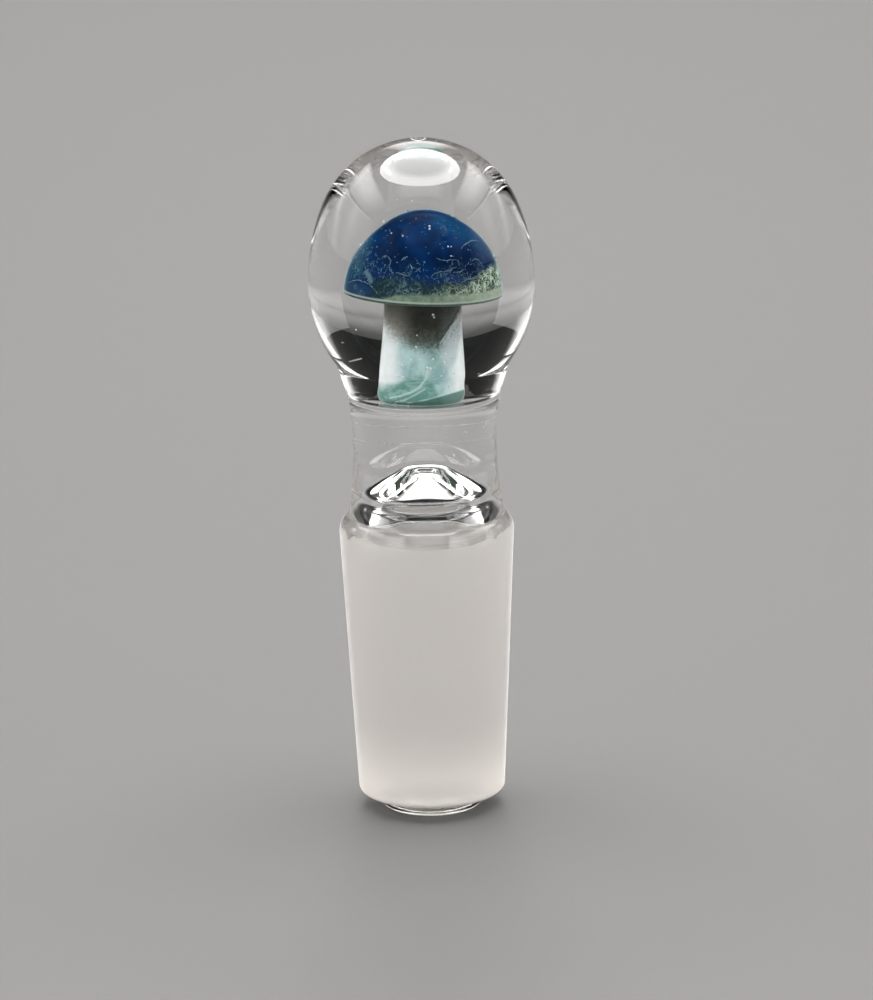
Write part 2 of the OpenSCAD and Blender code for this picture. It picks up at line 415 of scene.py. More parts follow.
R_CAP, R_STEM = turned(-1.5, 3.2), turned(0, 1.6)
side = (A_CAP**2 + (H_CAP - CROWN) ** 2 - CROWN**2) / (2 * (A_CAP - CROWN))
c1, c2 = A([A_CAP - side, 0]), A([0, H_CAP - CROWN])
p12 = c2 + CROWN * (c2 - c1) / np.linalg.norm(c2 - c1)
fine = lambda pts: [A(p, float) for p in pts]
cap_profile = fine(
    straight([0.02, -0.15], [A_CAP - 0.12, -0.15], 10)
    + straight([A_CAP - 0.12, -0.15], [A_CAP - 0.03, -0.09], 3)
    + straight([A_CAP - 0.03, -0.09], [A_CAP, 0], 2)
    + turn(c1, [A_CAP, 0], p12, 0.55)
    + turn(c2, p12, [0.01, H_CAP], 1.0)
)
STEM_FOOT = 35.6 - CAP_AT[2]
stem_sides = [[-1.6, 0.02], [0, 0], [1.6, 0.02], [2.18, 0.25], [2.37, 0.8], [2.34, 1.8], [2.34, 3.7], [2.28, 4.7], [2.19, 6], [2.15, 7.2], [2.15, 9]]
stem_profile = [A([p[0], p[1] + STEM_FOOT]) for p in smooth(stem_sides, 14)[1:]]
stem_profile += straight([2.15, 7.2 + STEM_FOOT], [2.15, 8.45 + STEM_FOOT], 12)


def lathe_local(profile, n):
    a = np.arange(n) * 2 * np.pi / n
    return [np.c_[p[0] * np.sin(a), -p[0] * np.cos(a), np.full(n, p[1])] for p in profile], a


def wave(p, seed, scale):
    """Smooth, repeatable noise on points in mm: a sum of a few plane waves."""
    rng = np.random.default_rng(seed)
    out = np.zeros(len(p))
    for _ in range(9):
        k = rng.normal(size=3) * scale
        out += np.sin(p @ k + rng.uniform(0, 2 * np.pi))
    return out / 3.0


def spot(profile, phi, z):
    """Point on a turned surface at azimuth phi (degrees, 0 in front, + to the right) and height z."""
    pr = A(profile)
    up = pr[np.argmax(pr[:, 0] > pr[:, 0].max() * 0.8) :]
    o = np.argsort(up[:, 1], kind="stable")
    r = float(np.interp(z, up[o, 1], up[o, 0]))
    a = math.radians(phi)
    return A([r * math.sin(a), -r * math.cos(a), z])


def near(points, line):
    """Distance from each point to a polyline, mm."""
    best = np.full(len(points), 1e9)
    for p, q in zip(line, line[1:]):
        v = q - p
        t = np.clip(((points - p) @ v) / max(v @ v, 1e-9), 0, 1)
        best = np.minimum(best, np.linalg.norm(points - p - t[:, None] * v, axis=1))
    return best


def sweep(phi, table):
    """Value at azimuth phi (degrees) from a table of (azimuth, value) that goes all the way round."""
    t = sorted(table)
    t = [(t[-1][0] - 360, t[-1][1])] + t + [(t[0][0] + 360, t[0][1])]
    return np.interp(phi, [x[0] for x in t], [x[1] for x in t])


cap_rows, cap_a = lathe_local(cap_profile, 400)
cap_pts = np.vstack(cap_rows)
phi = np.degrees(np.arctan2(cap_pts[:, 0], -cap_pts[:, 1]))
zc = cap_pts[:, 2]

# Green band round the rim: its upper edge, the cream band below, and the fold
# on the left where blue runs down in front of it.
green_top = sweep(phi, [(-170, 1.25), (-130, 1.0), (-105, 0.75), (-90, 0.3), (-60, 0.12), (-50, 0.5), (-47, 1.2), (-42, 1.8), (-38, 1.86), (-27, 1.74), (-12, 1.6), (1, 1.52), (15, 1.44), (24, 1.57), (34, 1.6), (45, 1.72), (55, 1.86), (67, 2.09), (79, 2.41), (101, 2.62), (120, 2.5), (150, 1.7)])
green_top = green_top + 0.16 * wave(cap_pts, 3, 2.2) + 0.07 * wave(cap_pts, 4, 6.0)
green = 1 - soft(zc, green_top - 0.32, green_top + 0.2)
lace = (1 - soft(zc, green_top - 0.6, green_top + 0.15)) * sweep(phi, [(-150, 0.8), (-90, 0.3), (-50, 0.25), (-34, 0.3), (-20, 0.75), (-8, 1.0), (12, 0.9), (24, 0.55), (36, 0.8), (60, 1.0), (100, 1.0)])
lace = np.maximum(lace, 0.9 * sweep(phi, [(-150, 0), (30, 0), (50, 1), (100, 1), (130, 0)]) * (1 - soft(zc, green_top, green_top + 0.3)))
cream_top = sweep(phi, [(-170, 0.5), (-120, 0.45), (-95, 0.2), (-50, 0.06), (-36, 0.2), (-25, 0.6), (-7, 0.72), (15, 0.74), (38, 0.7), (62, 0.66), (82, 0.7), (110, 0.8), (150, 0.6)])
cream = 1 - soft(zc, cream_top - 0.14 + 0.05 * wave(cap_pts, 5, 5.0), cream_top + 0.1)

CAP_THREADS = [
    # thickness mm, unevenness mm, points as azimuth and height
    (0.03, 0.03, [(44.3, 3.78), (48.9, 3.94), (57.9, 4.08), (69.5, 4.13), (78.7, 4.06), (84.9, 3.87)]),
    (0.026, 0.02, [(11.9, 3.31), (16, 3.19), (22.4, 3.13), (29.1, 3.14), (36, 3.11)]),
    (0.024, 0.02, [(29.1, 3.14), (28.2, 2.84)]),
    (0.024, 0.02, [(36, 3.11), (35.2, 2.92)]),
    (0.026, 0.03, [(53, 2.93), (58.3, 3.03), (62, 2.92), (63.6, 2.74), (64.5, 2.44)]),
    (0.03, 0.05, [(-27.3, 2.23), (-23, 2.11), (-18.9, 2.01), (-14.2, 2.09)]),
    (0.026, 0.04, [(-40.8, 3.2), (-35.5, 2.93), (-36, 2.57), (-33.6, 2.23)]),
    (0.03, 0.04, [(-24.7, 3.01), (-22.2, 3.23), (-18.3, 3.37)]),
    (0.026, 0.04, [(-14.7, 2.84), (-12.1, 2.53), (-10.3, 2.66)]),
    (0.024, 0.03, [(-8.9, 2.34), (-5.2, 2.52), (-3.4, 2.69)]),
    (0.028, 0.05, [(7.3, 2.02), (9.2, 2.22), (15.1, 2.37), (22.1, 2.43), (27.5, 2.53), (32.1, 2.66)]),
    (0.03, 0.05, [(28.1, 2.32), (34.4, 2.29), (39.1, 2.41), (42.8, 2.46)]),
    (0.05, 0.06, [(98.6, 2.28), (86.8, 2.18), (75.5, 2.06), (66, 1.94), (64.2, 2.17), (58.9, 2.03)]),
    (0.034, 0.06, [(36.2, 1.59), (41.9, 1.75), (47.7, 1.78), (55.5, 1.86), (58.9, 2.03)]),
    (0.042, 0.03, [(-88, 0.7), (-82.4, 0.86), (-75.4, 1.08), (-67.6, 1.2), (-60.2, 1.17), (-53.5, 1.1), (-49.5, 0.94), (-44.5, 0.7), (-39.8, 0.38), (-33.6, 0.22)]),
]
patch = 1 - soft(near(cap_pts, [spot(cap_profile, *q) for q in [(-60.9, 1.87), (-55.6, 1.65), (-51.8, 1.33)]]), 0.08, 0.26)
hole = 1 - soft(near(cap_pts, [spot(cap_profile, *q) for q in [(-49.1, 1.23), (-45.5, 1.13)]]), 0.1, 0.22)
left = 1 - soft(near(cap_pts, [spot(cap_profile, *q) for q in [(-95, 1.2), (-80, 2.0), (-90, 3.2)]]), 0.3, 1.6)
right = 1 - soft(near(cap_pts, [spot(cap_profile, *q) for q in [(50, 5.3), (70, 4.6), (85, 3.9)]]), 0.3, 1.5)
lens = (1 - soft(near(cap_pts, [spot(cap_profile, *q) for q in [(-80, 0.45), (-62, 0.6), (-52, 0.45)]]), 0.25, 0.6))


def cap_material():
    n = Nodes("cap_glass")
    green, cream, patch = n.attr("green"), n.attr("cream"), n.attr("patch")
    broad = n.noise(0.42, 2, 0.5)
    fine = n.noise(2.6, 4, 0.6)
    navy, royal, teal = (0.0016, 0.0085, 0.034), (0.002, 0.019, 0.077), (0.005, 0.052, 0.1)
    blue = n.mix(n.step(broad, 0.38, 0.66), navy, royal)
    blue = n.mix(n.math("MULTIPLY", n.attr("right"), 0.8), blue, (0.005, 0.04, 0.105))
    blue = n.mix(n.math("MULTIPLY", n.attr("left"), 0.85), blue, teal)
    blue = n.mix(n.math("MULTIPLY", n.attr("lens"), 0.8), blue, (0.004, 0.035, 0.1))
    haze = n.step(n.noise(6.5, 3, 0.7), 0.52, 0.75)
    blue = n.mix(n.math("MULTIPLY", haze, 0.16), blue, (0.02, 0.06, 0.1))
    # crackle: pale net over dark green, denser towards the rim
    net = n.step(n.cells(2.0, vec=n.warped(1.3, 1.3)), 0.1, 0.015)
    net2 = n.step(n.cells(4.2, vec=n.warped(2.6, 0.8)), 0.12, 0.02)
    crack = n.math("MAXIMUM", n.math("MULTIPLY", net, 0.95), n.math("MULTIPLY", net2, 0.35))
    crack = n.math("MULTIPLY", crack, n.math("ADD", 0.25, n.math("MULTIPLY", n.step(n.noise(1.2, 2, 0.5), 0.36, 0.56), 0.75)))
    dark_green = n.mix(fine, (0.004, 0.016, 0.018), (0.012, 0.036, 0.028))
    # Painted light on the green band: on the right it is painted brighter, with paler crackle and cream, as if lit; on
    # the left darker and bluer, as if in shade. The band's green, crackle and cream are the glass's own colours
    dark_green = n.mix(n.attr("left_side_shade_paint"), dark_green, n.mix(fine, (0.002, 0.012, 0.024), (0.006, 0.028, 0.038)))
    dark_green = n.mix(n.attr("right_side_light_paint"), dark_green, n.mix(n.step(fine, 0.35, 0.65), (0.003, 0.013, 0.008), (0.022, 0.055, 0.034)))
    net3 = n.step(n.cells(3.2, vec=n.warped(2.2, 0.9)), 0.13, 0.03)
    lit = n.math("MULTIPLY", n.math("MAXIMUM", n.math("MULTIPLY", crack, 0.75), n.math("MULTIPLY", net3, n.step(n.noise(1.7, 2, 0.5), 0.42, 0.62))), n.attr("right_side_light_paint"))
    greens = n.mix(n.math("MULTIPLY", crack, n.attr("lace")), dark_green, n.mix(n.attr("left_side_shade_paint"), (0.3, 0.41, 0.31), (0.15, 0.29, 0.31)))
    greens = n.mix(lit, greens, (0.58, 0.7, 0.56))
    creamy = n.mix(n.step(fine, 0.3, 0.7), (0.13, 0.2, 0.15), (0.24, 0.31, 0.22))
    creamy = n.mix(n.math("MULTIPLY", n.attr("right_side_light_paint"), n.math("ADD", 0.3, n.math("MULTIPLY", fine, 0.6))), creamy, (0.52, 0.58, 0.47))
    greens = n.mix(n.math("MULTIPLY", cream, 0.85), greens, creamy)
    # faint crackle lines that reach up into the blue
    up = n.attr("height")
    reach = n.math("MULTIPLY", n.step(up, 3.4, 1.6), n.step(n.noise(0.9, 2, 0.5), 0.45, 0.62))
    blue = n.mix(n.math("MULTIPLY", n.math("MULTIPLY", crack, reach), 0.8), blue, (0.07, 0.14, 0.18))
    c = n.mix(green, blue, greens)
    c = n.mix(n.math("MULTIPLY", n.attr("hole"), 0.9), c, (0.006, 0.03, 0.03))
    c = n.mix(n.math("MULTIPLY", patch, 0.6), c, (0.13, 0.22, 0.24))
    # Painted shade on the bevel under the rim's edge, and a painted highlight along the rim just above it
    c = n.mix(n.attr("rim_shade_paint"), c, (0.03, 0.07, 0.06))
    c = n.mix(n.attr("rim_highlight_paint"), c, (0.42, 0.52, 0.46))
    n.set(Base_Color=c, Roughness=0.55, IOR=1.02, Sheen_Weight=1.0, Sheen_Roughness=0.19, Sheen_Tint=(0.45, 0.82, 1.0), Coat_Weight=1.0, Coat_Roughness=0.06, Coat_IOR=1.05)
    return n.m


cap_ripple = 0.018 * wave(cap_pts, 11, 1.1)
cap_rows_world, start = [], 0
for r in cap_rows:
    e = start + len(r)
    d = cap_ripple[start:e, None] * (soft(r[:, 2], 0.0, 0.4))[:, None]
    v = r * (1 + d / 4.4)
    cap_rows_world.append(v @ R_CAP.T + CAP_AT)
    start = e
bottom = np.zeros((1, 3)) + A([0, 0, -0.15]) @ R_CAP.T + CAP_AT
tip_pt = np.zeros((1, 3)) + A([0, 0, H_CAP]) @ R_CAP.T + CAP_AT
cap = grid_mesh("mushroom_cap_glass", [bottom] + cap_rows_world + [tip_pt], cap_material())
pad = lambda v, a, b: np.concatenate([[a], v, [b]])
attribute(cap, "green", pad(green, 1, 0))
attribute(cap, "cream", pad(cream, 1, 0))
attribute(cap, "lace", pad(lace, 0, 0))
# Masks for the green band's painted lit right side and painted shaded left side
attribute(cap, "right_side_light_paint", pad(sweep(phi, [(-150, 0), (12, 0), (36, 0.4), (56, 0.75), (78, 0.95), (105, 1), (140, 0.2)]), 0, 0))
attribute(cap, "left_side_shade_paint", pad(sweep(phi, [(-150, 0.2), (-100, 0.5), (-60, 1), (-20, 1), (4, 0.65), (28, 0.2), (42, 0), (130, 0)]), 0, 0))
attribute(cap, "patch", pad(patch, 0, 0))
attribute(cap, "hole", pad(hole, 0, 0))
attribute(cap, "left", pad(left, 0, 0))
attribute(cap, "right", pad(right, 0, 0))
attribute(cap, "lens", pad(lens * (1 - green), 0, 0))
attribute(cap, "height", pad(zc, 0, H_CAP))
# Masks for the painted shade under the rim's edge and the painted highlight just above it
attribute(cap, "rim_shade_paint", pad(soft(zc, -0.13, -0.07) * (1 - soft(zc, -0.03, 0.03)) * 0.85, 0, 0))
attribute(cap, "rim_highlight_paint", pad(soft(zc, 0.02, 0.07) * (1 - soft(zc, 0.11, 0.2)) * 0.8, 0, 0))
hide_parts("mushroom_cap")
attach(cap, "root")

stem_rows, stem_a = lathe_local(stem_profile, 240)
stem_pts = np.vstack(stem_rows)
sphi = np.degrees(np.arctan2(stem_pts[:, 0], -stem_pts[:, 1]))
zs = stem_pts[:, 2]


def on_stem(pts):
    return [spot(stem_profile, *q) for q in pts]


STEM_LINES = [
    (1.0, 0.06, [(7.2, -4.7), (5.2, -5.54), (-2.8, -6.7), (-15.1, -7.15), (-34.7, -7.56), (-54.4, -7.82)]),
    (0.8, 0.05, [(5, -6.88), (-10.3, -7.41), (-26.6, -7.89), (-43.8, -8.13)]),
    (0.9, 0.05, [(79.1, -7.1), (47.2, -7.33), (29.1, -7.54), (5.3, -7.86), (-22.2, -8.15)]),
    (0.7, 0.05, [(73.5, -1.19), (52.7, -1.74), (39.7, -2.27), (28.5, -2.8)]),
]
s_lines = np.zeros(len(stem_pts))
for strength, w, pts in STEM_LINES:
    s_lines = np.maximum(s_lines, strength * (1 - soft(near(stem_pts, on_stem(pts)), w * 0.4, w * 2.2)))
# A dark line painted down the stem's right side: painted shade of a fold that the smooth stem doesn't have
fold_shade_paint = 1 - soft(near(stem_pts, on_stem([(80, -0.55), (60.5, -1.12), (43.9, -1.82), (30.3, -2.59), (26, -2.9)])), 0.02, 0.12)
# The stem's top under the cap is painted dark as the cap's shadow, down to a line that is lower at the front; a paler
# band is painted along the shadow's edge
shadow_edge_z = sweep(sphi, [(-170, -1.4), (-120, -1.3), (-85, -1.25), (-60, -1.75), (-40, -2.15), (-15, -2.55), (5, -2.75), (24, -2.85), (34, -2.3), (45, -1.6), (60, -1.0), (85, -0.5), (130, -1.0)])
cap_shadow_paint = soft(zs, shadow_edge_z - 1.05 + 0.15 * wave(stem_pts, 21, 2.4), shadow_edge_z + 1.75)
haze = soft(zs, shadow_edge_z - 1.5 + 0.2 * wave(stem_pts, 22, 1.9), shadow_edge_z + 0.5)
# Pale lines on the stem's right side, beside the painted fold shade: painted glints
glints = [
    (0.8, 0.05, [(88, -0.9), (62, -1.6), (47, -2.25), (36, -2.8)]),
    (0.6, 0.06, [(88, -1.5), (66, -2.1), (52, -2.6), (45, -2.95)]),
    (0.5, 0.07, [(88, -2.1), (72, -2.6), (60, -3.05)]),
]
glint_paint = np.zeros(len(stem_pts))
for strength, w, pts in glints:
    glint_paint = np.maximum(glint_paint, strength * (1 - soft(near(stem_pts, on_stem(pts)), w * 0.4, w * 2.6)))
s_patch = 1 - soft(near(stem_pts, on_stem([(38, -3.3), (52, -2.9), (60, -2.4), (50, -3.6), (42, -4.0)])), 0.25, 0.75)
swirl_z = sweep(sphi, [(-150, -6.2), (-90, -6.7), (-67, -6.7), (-45, -6.33), (-19, -5.55), (-2, -5.1), (7, -5.6), (15, -6.3), (23, -7.1), (32, -7.9), (44, -8.6), (90, -8.6), (150, -7.4)])
swirl = 1 - soft(zs, swirl_z - 0.7 + 0.3 * wave(stem_pts, 23, 1.6), swirl_z + 0.6)
foot_z = sweep(sphi, [(-180, -7.7), (-120, -8.0), (-90, -8.2), (-44, -8.15), (-22, -8.05), (5, -7.85), (29, -7.5), (47, -7.35), (79, -7.15), (110, -7.2), (150, -7.5)])
foot = 1 - soft(zs, foot_z - 0.12, foot_z + 0.04)


def stem_material():
    n = Nodes("stem_glass")
    cap_shadow_paint, fold_shade_paint, lines = n.attr("cap_shadow_paint"), n.attr("fold_shade_paint"), n.attr("lines")
    v = n.warped(0.9, 1.1, vec=n.place(1, (1, 1, 0.55)))
    swirl = n.noise(0.9, 4, 0.55, 0.6, vec=v)
    mottle = n.noise(3.4, 4, 0.6)
    sea = n.mix(n.step(swirl, 0.36, 0.64), (0.27, 0.47, 0.47), (0.48, 0.7, 0.69))
    sea = n.mix(n.math("MULTIPLY", n.step(mottle, 0.5, 0.72), 0.3), sea, (0.7, 0.86, 0.86))
    # Painted highlight: the stem's left and right edges, as seen from the front, are painted near-white, weaker near
    # the foot
    sea = n.mix(n.math("MULTIPLY", n.attr("side_highlight_paint"), n.math("ADD", 0.62, n.math("MULTIPLY", n.noise(1.6, 3, 0.6), 0.6)), clamp=True), sea, (0.93, 0.98, 0.99))
    green = n.mix(mottle, (0.06, 0.2, 0.175), (0.17, 0.39, 0.34))
    strokes = n.step(n.noise(0.9, 4, 0.55, 1.2, vec=n.warped(0.6, 1.6, vec=n.place(1, (1, 1, 1.6)))), 0.44, 0.62)
    green = n.mix(n.math("MULTIPLY", strokes, 0.55), green, (0.36, 0.6, 0.54))
    c = n.mix(n.math("MULTIPLY", n.attr("swirl"), 0.92), sea, green)
    c = n.mix(n.math("MULTIPLY", n.attr("foot"), 0.85), c, n.mix(mottle, (0.03, 0.12, 0.095), (0.1, 0.245, 0.19)))
    c = n.mix(n.math("MULTIPLY", n.attr("patch"), 0.75), c, n.mix(mottle, (0.38, 0.48, 0.5), (0.62, 0.72, 0.74)))
    # Painted shadow of the cap over the stem's top: a paler band along its edge, then near-black, both lighter and
    # beige towards the sides
    beige = n.mix(n.attr("beige"), (0.1, 0.12, 0.1), (0.28, 0.275, 0.25))
    speck = n.math("SUBTRACT", n.noise(5.0, 4, 0.7), 0.5)
    grainy = lambda a, k: n.math("ADD", n.attr(a), n.math("MULTIPLY", n.math("MULTIPLY", speck, k), n.math("MULTIPLY", n.attr(a), n.math("SUBTRACT", 1.0, n.attr(a)))))
    c = n.mix(n.step(grainy("haze", 5.0), 0.0, 1.0), c, beige)
    dark = n.mix(n.step(n.noise(0.8, 3, 0.6), 0.35, 0.65), (0.012, 0.014, 0.01), (0.03, 0.032, 0.024))
    dark = n.mix(n.math("MULTIPLY", n.attr("beige"), 0.75), dark, (0.16, 0.155, 0.13))
    c = n.mix(n.step(grainy("cap_shadow_paint", 5.0), 0.0, 1.0), c, dark)
    ash = n.math("MULTIPLY", n.attr("ash"), n.math("ADD", 0.35, n.math("MULTIPLY", n.step(n.noise(7.0, 3, 0.7), 0.4, 0.62), 0.5)))
    c = n.mix(ash, c, (0.07, 0.075, 0.075))
    # Painted glints
    c = n.mix(n.math("MULTIPLY", n.attr("glint_paint"), 0.8), c, (0.5, 0.53, 0.55))
    # Painted shade along the fold line
    c = n.mix(n.math("MULTIPLY", fold_shade_paint, 0.65), c, (0.01, 0.012, 0.012))
    c = n.mix(n.attr("under"), c, (0.4, 0.4, 0.42))
    # The pale lines are painted grey where they run into the painted shadow
    c = n.mix(n.math("MULTIPLY", lines, 0.7), c, n.mix(cap_shadow_paint, (0.62, 0.82, 0.77), (0.25, 0.25, 0.27)))
    n.set(Base_Color=c, Roughness=0.5, IOR=1.02, Sheen_Weight=0.8, Sheen_Roughness=0.25, Sheen_Tint=(0.95, 1.0, 1.0), Coat_Weight=1.0, Coat_Roughness=0.06, Coat_IOR=1.05)
    return n.m


stem_rows_world = [r @ R_STEM.T + CAP_AT for r in stem_rows]
s_bot = np.zeros((1, 3)) + A([0, 0, stem_profile[0][1]]) @ R_STEM.T + CAP_AT
s_top = np.zeros((1, 3)) + A([0, 0, stem_profile[-1][1]]) @ R_STEM.T + CAP_AT
stem = grid_mesh("mushroom_stem_glass", [s_bot] + stem_rows_world + [s_top], stem_material())
# Mask for the painted highlight on the stem's left and right edges
attribute(stem, "side_highlight_paint", pad(soft(np.abs(sphi - 3), 24, 64) * (0.35 + 0.65 * soft(zs, -8.2, -6.6)), 0, 0))
# Mask for the paler band painted along the edge of the cap's painted shadow
attribute(stem, "haze", pad(haze, 0, 1))
# Mask for the painted glints
attribute(stem, "glint_paint", pad(glint_paint, 0, 0))
attribute(stem, "ash", pad(soft(zs, -3.6, -1.2) * soft(sphi, 22, 40) * (1 - soft(sphi, 72, 100)), 0, 0))
attribute(stem, "lines", pad(s_lines, 0, 0))
# Mask for the fold's painted shade
attribute(stem, "fold_shade_paint", pad(fold_shade_paint, 0, 0))
# Mask for the cap's painted shadow over the stem's top
attribute(stem, "cap_shadow_paint", pad(cap_shadow_paint, 0, 1))
attribute(stem, "patch", pad(s_patch, 0, 0))
attribute(stem, "swirl", pad(swirl, 1, 0))
attribute(stem, "foot", pad(foot, 1, 0))
stem_r = np.hypot(stem_pts[:, 0], stem_pts[:, 1])
attribute(stem, "under", pad((1 - soft(stem_r, 1.6, 2.1)) * (zs < -8), 1, 0))
attribute(stem, "beige", pad(soft(-sphi, 8, 48) * (sphi < 0) + soft(sphi, 45, 80) * (sphi > 0), 0, 0))
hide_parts("mushroom_stem")
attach(stem, "root")

# ------------------------------------------------------------------ bubbles
ICO = None


def ball(center, r, squeeze=(1, 1, 1), n=8, m=6):
    """A small bubble as vertices and faces: a turned ball, squeezed along its axes."""
    v = [center + A([0, 0, r * squeeze[2]])]
    for i in range(1, m):
        t = math.pi * i / m
        for k in range(n):
            a = 2 * math.pi * k / n
            v.append(center + A([r * math.sin(t) * math.cos(a) * squeeze[0], r * math.sin(t) * math.sin(a) * squeeze[1], r * math.cos(t) * squeeze[2]]))
    v.append(center - A([0, 0, r * squeeze[2]]))
    f = [(0, 1 + k, 1 + (k + 1) % n) for k in range(n)]
    for i in range(m - 2):
        for k in range(n):
            a, b = 1 + i * n + k, 1 + i * n + (k + 1) % n
            f.append((a, a + n, b + n, b))
    last = len(v) - 1
    f += [(last, 1 + (m - 2) * n + (k + 1) % n, 1 + (m - 2) * n + k) for k in range(n)]
    return v, f


def bubbles(name, items, material):
    V, F = [], []
    for c, r, s in items:
        v, f = ball(c, r, s)
        F += [tuple(len(V) + i for i in q) for q in f]
        V += v
    me = bpy.data.meshes.new(name)
    me.from_pydata([tuple(v * MM) for v in V], [], F)
    me.polygons.foreach_set("use_smooth", [True] * len(F))
    me.update()
    me.materials.append(material)
    ob = bpy.data.objects.new(name, me)
    scene.collection.objects.link(ob)
    return ob


def speck_material(name, color):
    n = Nodes(name)
    tone = n.mix(n.noise(3.0, 2, 0.5), tuple(0.7 * x for x in color), color)
    n.set(Base_Color=tone, Roughness=0.2, IOR=1.2)
    return n.m


CAP_SPECKS = [
    # azimuth, height, radius mm
    (6.7, 5.26, 0.085), (6.2, 5.11, 0.07), (-2.1, 5.17, 0.05), (-61.4, 4.71, 0.05), (-54.9, 4.61, 0.06), (-33.5, 4.59, 0.075), (-37.4, 4.68, 0.045), (-26.8, 4.56, 0.045),
    (-31.9, 5.53, 0.06), (-2.5, 5.65, 0.06), (-63.9, 5.31, 0.05), (-61.7, 3.61, 0.06), (-23.1, 3.91, 0.05), (28.2, 4.02, 0.06), (32.2, 4.0, 0.06), (18.6, 4.2, 0.05),
    (21.4, 3.94, 0.05), (47.2, 4.9, 0.06), (65.6, 5.14, 0.035), (63.9, 5.01, 0.045), (28.2, 5.14, 0.05), (35.6, 5.02, 0.05), (49.2, 5.45, 0.05), (82.6, 3.29, 0.045),
    (79.6, 3.17, 0.045), (99.8, 2.67, 0.09), (29, 3.41, 0.06), (40.2, 3.2, 0.05), (70.2, 3.77, 0.045), (53.7, 3.66, 0.06), (56.9, 3.6, 0.05), (-80.9, 3.15, 0.05),
    (-77.2, 3.33, 0.05), (-57.5, 2.41, 0.05), (-69.9, 4.64, 0.05), (-84.1, 4.62, 0.045), (-8, 3.1, 0.05), (-0.7, 3.04, 0.05), (-12.2, 2.58, 0.05), (-32.5, 3.23, 0.05), (-43.2, 3.18, 0.05),
]
STEM_SPECKS = [
    (7.1, -4.49, 0.085), (11.8, -4.54, 0.09), (-38.4, -5.1, 0.09), (-30.5, -5.19, 0.07), (-32.4, -4.31, 0.065), (-17.9, -3.91, 0.055), (-3.8, -3.9, 0.055), (16.5, -3.86, 0.055),
    (34.8, -4.08, 0.07), (36.9, -3.53, 0.06), (29.7, -5.1, 0.06), (54.4, -4.92, 0.055), (-10.3, -3.03, 0.05), (16.6, -0.92, 0.07), (18.4, -1.09, 0.05), (18.5, -5.55, 0.045),
    (-9.1, -2.25, 0.04), (50.4, -3.83, 0.05), (59.1, -2.63, 0.05), (45.5, -6.7, 0.055),
]
rng = np.random.default_rng(5)
to_cap = lambda p: p @ R_CAP.T + CAP_AT


def tube(path, r, n=6):
    """A closed thin tube along points, thinner at both ends."""
    path = A(path)
    v, f = [], []
    for i, p in enumerate(path):
        t = path[min(i + 1, len(path) - 1)] - path[max(i - 1, 0)]
        t = t / np.linalg.norm(t)
        u = np.cross(t, [0.3, 0.2, 1.0])
        u /= np.linalg.norm(u)
        w = np.cross(t, u)
        k = math.sin(math.pi * (i + 0.5) / len(path)) ** 0.35 * rng.uniform(0.35, 1.1)
        for q in range(n):
            a = 2 * math.pi * q / n
            v.append(p + r * k * (math.cos(a) * u + math.sin(a) * w))
    for i in range(len(path) - 1):
        for q in range(n):
            a, b = i * n + q, i * n + (q + 1) % n
            f.append((a, a + n, b + n, b))
    f.append(tuple(range(n)))
    f.append(tuple((len(path) - 1) * n + q for q in range(n - 1, -1, -1)))
    return v, f


def along(points, step):
    out = [A(points[0], float)]
    for p, q in zip(points, points[1:]):
        p, q = A(p, float), A(q, float)
        m = max(1, int(math.hypot((q[0] - p[0]) * 0.07, q[1] - p[1]) / step))
        out += [p + (q - p) * k / m for k in range(1, m + 1)]
    return out


def threads(name, specs, profile, place, material):
    V, F = [], []
    for r, uneven, pts in specs:
        path = []
        for a, z in along(pts, 0.08):
            a += rng.uniform(-1, 1) * uneven * 14
            z += rng.uniform(-1, 1) * uneven
            path.append(place(spot(profile, a, z)))
        if len(path) < 3:
            path = [path[0], (path[0] + path[-1]) / 2, path[-1]]
        v, f = tube(path, r)
        F += [tuple(len(V) + i for i in q) for q in f]
        V += v
    me = bpy.data.meshes.new(name)
    me.from_pydata([tuple(v * MM) for v in V], [], F)
    me.polygons.foreach_set("use_smooth", [True] * len(F))
    me.update()
    me.materials.append(material)
    ob = bpy.data.objects.new(name, me)
    scene.collection.objects.link(ob)
    return ob


more = []
for i in range(330):
    a, z = rng.uniform(-100, 260), rng.triangular(1.3, 1.9, 3.6)
    if i > 270:
        a, z = rng.uniform(-95, -40), rng.uniform(1.2, 3.6)
    if -100 < a < 100 and z > 3.1 and rng.uniform() < 0.6:
        continue
    pts, d, bend = [(a, z)], rng.uniform(0, 2 * math.pi), rng.uniform(-1.0, 1.0)
    for _ in range(rng.integers(1, 4)):
        d += bend + rng.uniform(-0.5, 0.5)
        a, z = a + 1.5 * math.cos(d), max(1.0, z + 0.11 * math.sin(d))
        pts.append((a, z))
    more.append((rng.uniform(0.011, 0.022), 0.015, pts))
cap_threads = threads("cap_threads", CAP_THREADS + more, cap_profile, to_cap, speck_material("thread_blue", (0.16, 0.27, 0.32)))
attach(cap_threads, "root")

